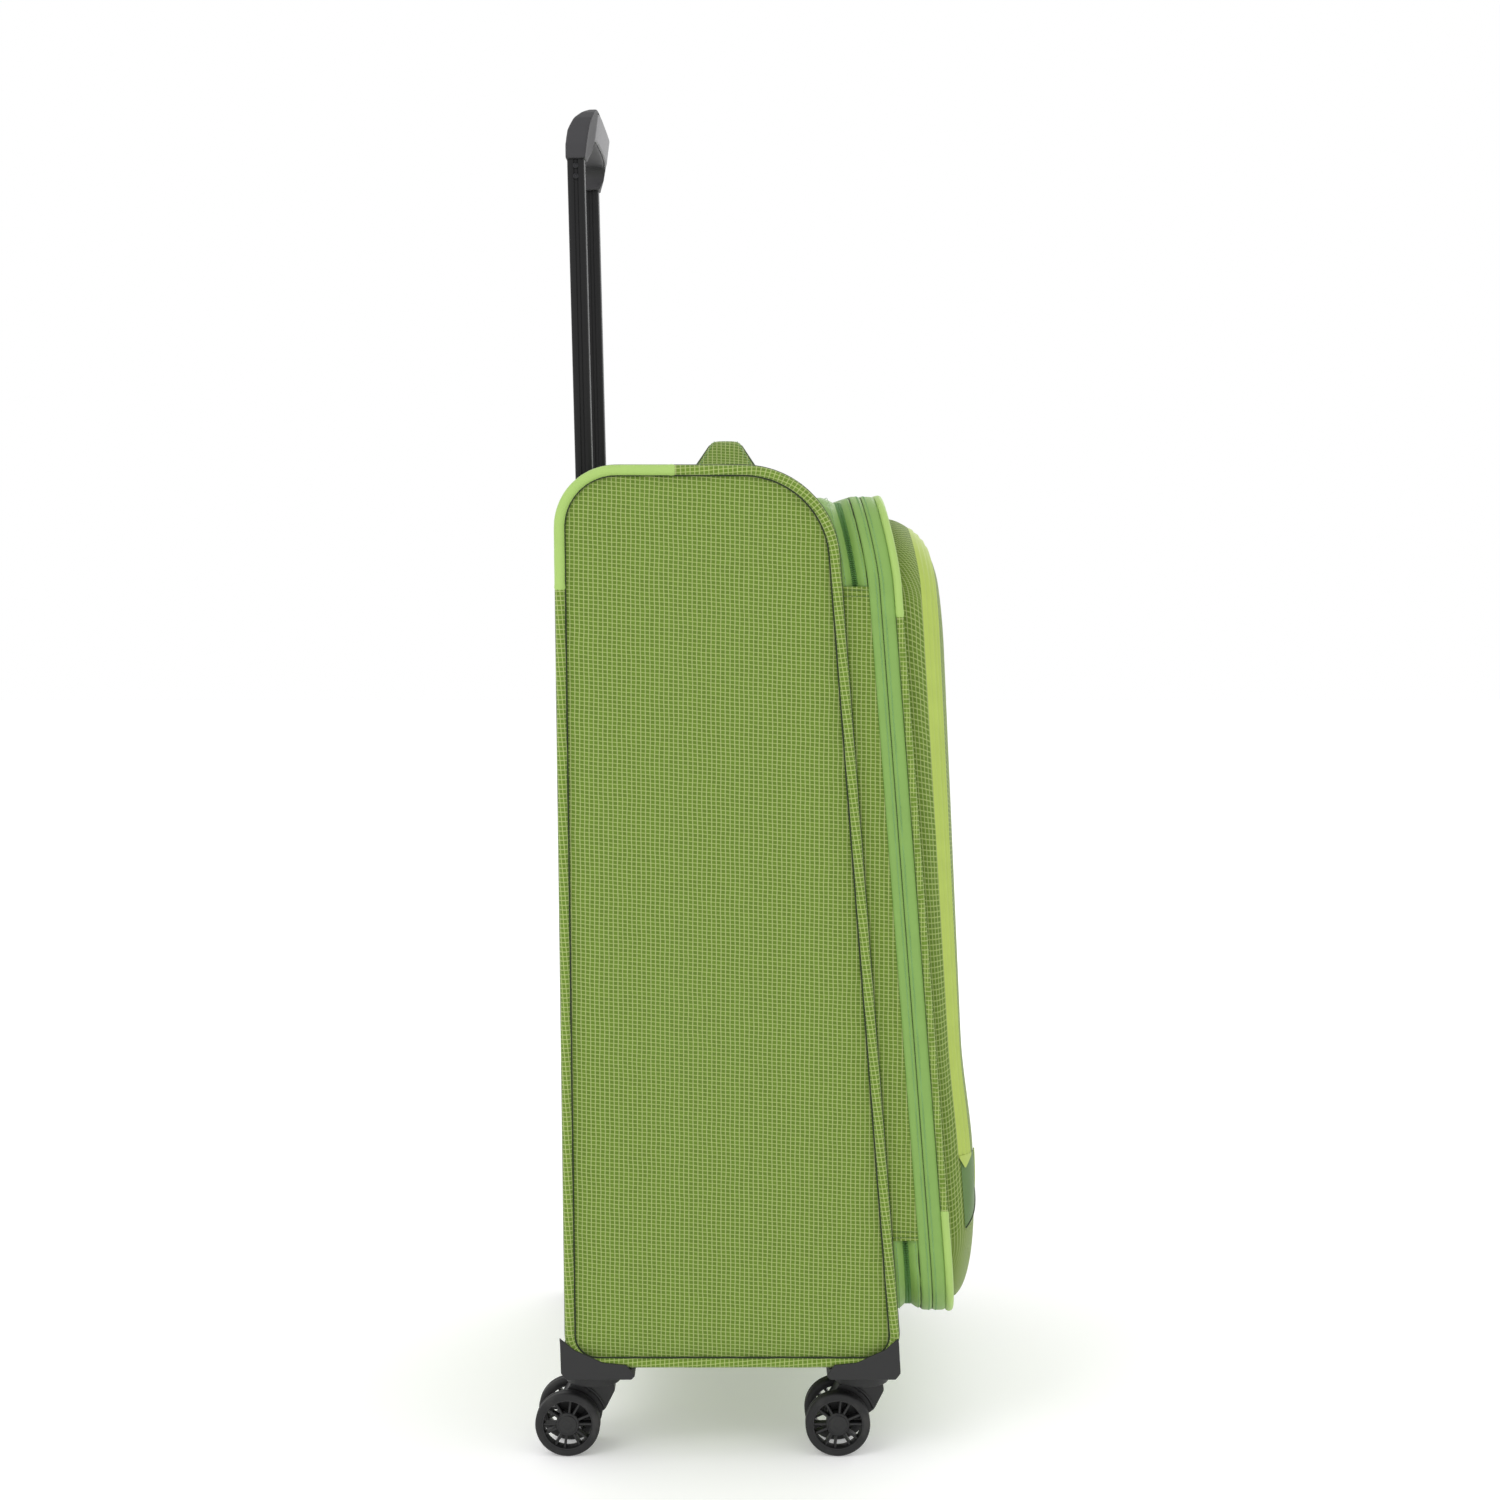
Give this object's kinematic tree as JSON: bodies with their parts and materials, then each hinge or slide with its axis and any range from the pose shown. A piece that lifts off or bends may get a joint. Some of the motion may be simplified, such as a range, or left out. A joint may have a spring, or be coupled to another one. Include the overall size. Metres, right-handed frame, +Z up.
{
  "type": "soft-sided wheeled suitcase",
  "caption": "Upright soft-sided suitcase on twin-wheel swivel casters, with a telescopic handle, a hinged expanding lid, a zipped front pocket and two carry handles.",
  "frame": {"origin": "on the floor under the middle of the whole object, handle out", "axes": "+X out of the lid and pocket side, +Y towards the lock side, away from the lid hinge, +Z up"},
  "size_m": [0.3574, 0.517, 1.0863],
  "materials": {
    "checked_fabric": "woven check",
    "satin_fabric": "smooth",
    "piping": "smooth",
    "lime_tape": "smooth",
    "lining": "smooth",
    "mesh": "open mesh",
    "black_plastic": "satin",
    "wheel_rubber": "satin",
    "steel": "satin",
    "black_tube": "black anodised",
    "grey_plastic": "satin"
  },
  "bodies": {
    "case": {"body_wrap": "checked_fabric", "side_panel_hinge": "checked_fabric", "side_panel_lock": "checked_fabric", "side_piping_hinge": "piping", "side_piping_lock": "piping", "lining": "lining", "shoe_back_hinge": "black_plastic", "shoe_back_lock": "black_plastic", "shoe_front_hinge": "black_plastic", "shoe_front_lock": "black_plastic", "outer_tube_hinge": "steel", "outer_tube_lock": "steel", "trolley_bezel": "black_plastic", "trolley_foot": "black_plastic", "zip_tape_case": "satin_fabric", "lock_body": "black_plastic", "main_upper_slider": "black_plastic", "main_lower_slider": "black_plastic"},
    "trolley": {"inner_tube_hinge": "black_tube", "inner_tube_lock": "black_tube", "grip_shell": "black_plastic", "grip_face": "grey_plastic"},
    "grip_button": {"grip_button": "grey_plastic"},
    "caster_back_hinge": {"yoke_back_hinge": "black_plastic", "axle_back_hinge": "steel"},
    "wheel_outer_back_hinge": {"wheel_outer_back_hinge": "wheel_rubber"},
    "wheel_inner_back_hinge": {"wheel_inner_back_hinge": "wheel_rubber"},
    "caster_back_lock": {"yoke_back_lock": "black_plastic", "axle_back_lock": "steel"},
    "wheel_outer_back_lock": {"wheel_outer_back_lock": "wheel_rubber"},
    "wheel_inner_back_lock": {"wheel_inner_back_lock": "wheel_rubber"},
    "caster_front_hinge": {"yoke_front_hinge": "black_plastic", "axle_front_hinge": "steel"},
    "wheel_outer_front_hinge": {"wheel_outer_front_hinge": "wheel_rubber"},
    "wheel_inner_front_hinge": {"wheel_inner_front_hinge": "wheel_rubber"},
    "caster_front_lock": {"yoke_front_lock": "black_plastic", "axle_front_lock": "steel"},
    "wheel_outer_front_lock": {"wheel_outer_front_lock": "wheel_rubber"},
    "wheel_inner_front_lock": {"wheel_inner_front_lock": "wheel_rubber"},
    "lid_rear": {"zip_tape_lid": "satin_fabric", "hinge_strip": "checked_fabric", "lid_rear_band": "satin_fabric", "expansion_gusset": "checked_fabric", "expansion_slider": "black_plastic"},
    "lid_front": {"lid_front_band": "satin_fabric", "lid_piping": "piping", "lid_panel": "checked_fabric", "lid_mesh_pocket": "mesh", "pocket_body": "checked_fabric", "pocket_zip_band": "lime_tape"},
    "pocket_flap": {"pocket_flap": "checked_fabric"},
    "top_handle": {"top_handle": "checked_fabric"},
    "side_handle": {"side_handle": "checked_fabric"},
    "lock_dial_1": {"lock_dial_1": "steel"},
    "lock_dial_2": {"lock_dial_2": "steel"},
    "lock_dial_3": {"lock_dial_3": "steel"},
    "lock_release": {"lock_release": "black_plastic"},
    "main_upper_pull": {"main_upper_pull": "black_plastic"},
    "main_lower_pull": {"main_lower_pull": "black_plastic"},
    "expansion_pull": {"expansion_pull": "black_plastic"}
  },
  "joints": [
    {"name": "trolley_slide", "type": "slide", "parent": "case", "child": "trolley", "axis": [-0.0209, 0, 0.9998], "range_m": [-0.245, 0]},
    {"name": "grip_button_press", "type": "slide", "parent": "trolley", "child": "grip_button", "axis": [0.0209, 0, -0.9998], "range_m": [0, 0.0035], "stiffness_N_per_m": 600},
    {"name": "swivel_back_hinge", "type": "hinge", "parent": "case", "child": "caster_back_hinge", "pos_m": [-0.1331, -0.21835, 0.06], "axis": [0, 0, 1], "continuous": true},
    {"name": "spin_outer_back_hinge", "type": "hinge", "parent": "caster_back_hinge", "child": "wheel_outer_back_hinge", "pos_m": [-0.1527, -0.23735, 0.026], "axis": [0, 1, 0], "continuous": true},
    {"name": "spin_inner_back_hinge", "type": "hinge", "parent": "caster_back_hinge", "child": "wheel_inner_back_hinge", "pos_m": [-0.1527, -0.19935, 0.026], "axis": [0, 1, 0], "continuous": true},
    {"name": "swivel_back_lock", "type": "hinge", "parent": "case", "child": "caster_back_lock", "pos_m": [-0.1331, 0.19765, 0.06], "axis": [0, 0, 1], "continuous": true},
    {"name": "spin_outer_back_lock", "type": "hinge", "parent": "caster_back_lock", "child": "wheel_outer_back_lock", "pos_m": [-0.1527, 0.21665, 0.026], "axis": [0, 1, 0], "continuous": true},
    {"name": "spin_inner_back_lock", "type": "hinge", "parent": "caster_back_lock", "child": "wheel_inner_back_lock", "pos_m": [-0.1527, 0.17865, 0.026], "axis": [0, 1, 0], "continuous": true},
    {"name": "swivel_front_hinge", "type": "hinge", "parent": "case", "child": "caster_front_hinge", "pos_m": [0.0834, -0.21835, 0.06], "axis": [0, 0, 1], "continuous": true},
    {"name": "spin_outer_front_hinge", "type": "hinge", "parent": "caster_front_hinge", "child": "wheel_outer_front_hinge", "pos_m": [0.0638, -0.23735, 0.026], "axis": [0, 1, 0], "continuous": true},
    {"name": "spin_inner_front_hinge", "type": "hinge", "parent": "caster_front_hinge", "child": "wheel_inner_front_hinge", "pos_m": [0.0638, -0.19935, 0.026], "axis": [0, 1, 0], "continuous": true},
    {"name": "swivel_front_lock", "type": "hinge", "parent": "case", "child": "caster_front_lock", "pos_m": [0.0834, 0.19765, 0.06], "axis": [0, 0, 1], "continuous": true},
    {"name": "spin_outer_front_lock", "type": "hinge", "parent": "caster_front_lock", "child": "wheel_outer_front_lock", "pos_m": [0.0638, 0.21665, 0.026], "axis": [0, 1, 0], "continuous": true},
    {"name": "spin_inner_front_lock", "type": "hinge", "parent": "caster_front_lock", "child": "wheel_inner_front_lock", "pos_m": [0.0638, 0.17865, 0.026], "axis": [0, 1, 0], "continuous": true},
    {"name": "lid_hinge", "type": "hinge", "parent": "case", "child": "lid_rear", "pos_m": [0.0959, -0.25635, 0.433], "axis": [0.0796, 0, -0.9968], "range_deg": [0, 175]},
    {"name": "lid_expansion", "type": "slide", "parent": "lid_rear", "child": "lid_front", "axis": [0.9968, 0, 0.0796], "range_m": [0, 0.035]},
    {"name": "pocket_flap_fold", "type": "hinge", "parent": "lid_front", "child": "pocket_flap", "pos_m": [0.1787, -0.01035, 0.2406], "axis": [0, 1, 0], "range_deg": [0, 60]},
    {"name": "top_handle_lift", "type": "slide", "parent": "case", "child": "top_handle", "axis": [0, 0, 1], "range_m": [0, 0.008], "stiffness_N_per_m": 1500},
    {"name": "side_handle_lift", "type": "slide", "parent": "case", "child": "side_handle", "axis": [0, 1, 0], "range_m": [0, 0.008], "stiffness_N_per_m": 1500},
    {"name": "turn_lock_dial_1", "type": "hinge", "parent": "case", "child": "lock_dial_1", "pos_m": [0.0469, 0.23925, 0.424], "axis": [0, 0, 1], "continuous": true},
    {"name": "turn_lock_dial_2", "type": "hinge", "parent": "case", "child": "lock_dial_2", "pos_m": [0.0469, 0.23925, 0.433], "axis": [0, 0, 1], "continuous": true},
    {"name": "turn_lock_dial_3", "type": "hinge", "parent": "case", "child": "lock_dial_3", "pos_m": [0.0469, 0.23925, 0.442], "axis": [0, 0, 1], "continuous": true},
    {"name": "lock_release_slide", "type": "slide", "parent": "case", "child": "lock_release", "axis": [0, 0, -1], "range_m": [0, 0.0035], "stiffness_N_per_m": 300},
    {"name": "swing_main_upper_pull", "type": "hinge", "parent": "case", "child": "main_upper_pull", "pos_m": [0.09315, 0.23315, 0.4675], "axis": [1, 0, 0], "range_deg": [0, 170]},
    {"name": "swing_main_lower_pull", "type": "hinge", "parent": "case", "child": "main_lower_pull", "pos_m": [0.09866, 0.23315, 0.3985], "axis": [1, 0, 0], "range_deg": [0, 170]},
    {"name": "swing_expansion_pull", "type": "hinge", "parent": "lid_rear", "child": "expansion_pull", "pos_m": [0.13378, 0.23315, 0.1965], "axis": [1, 0, 0], "range_deg": [0, 170]}
  ]
}
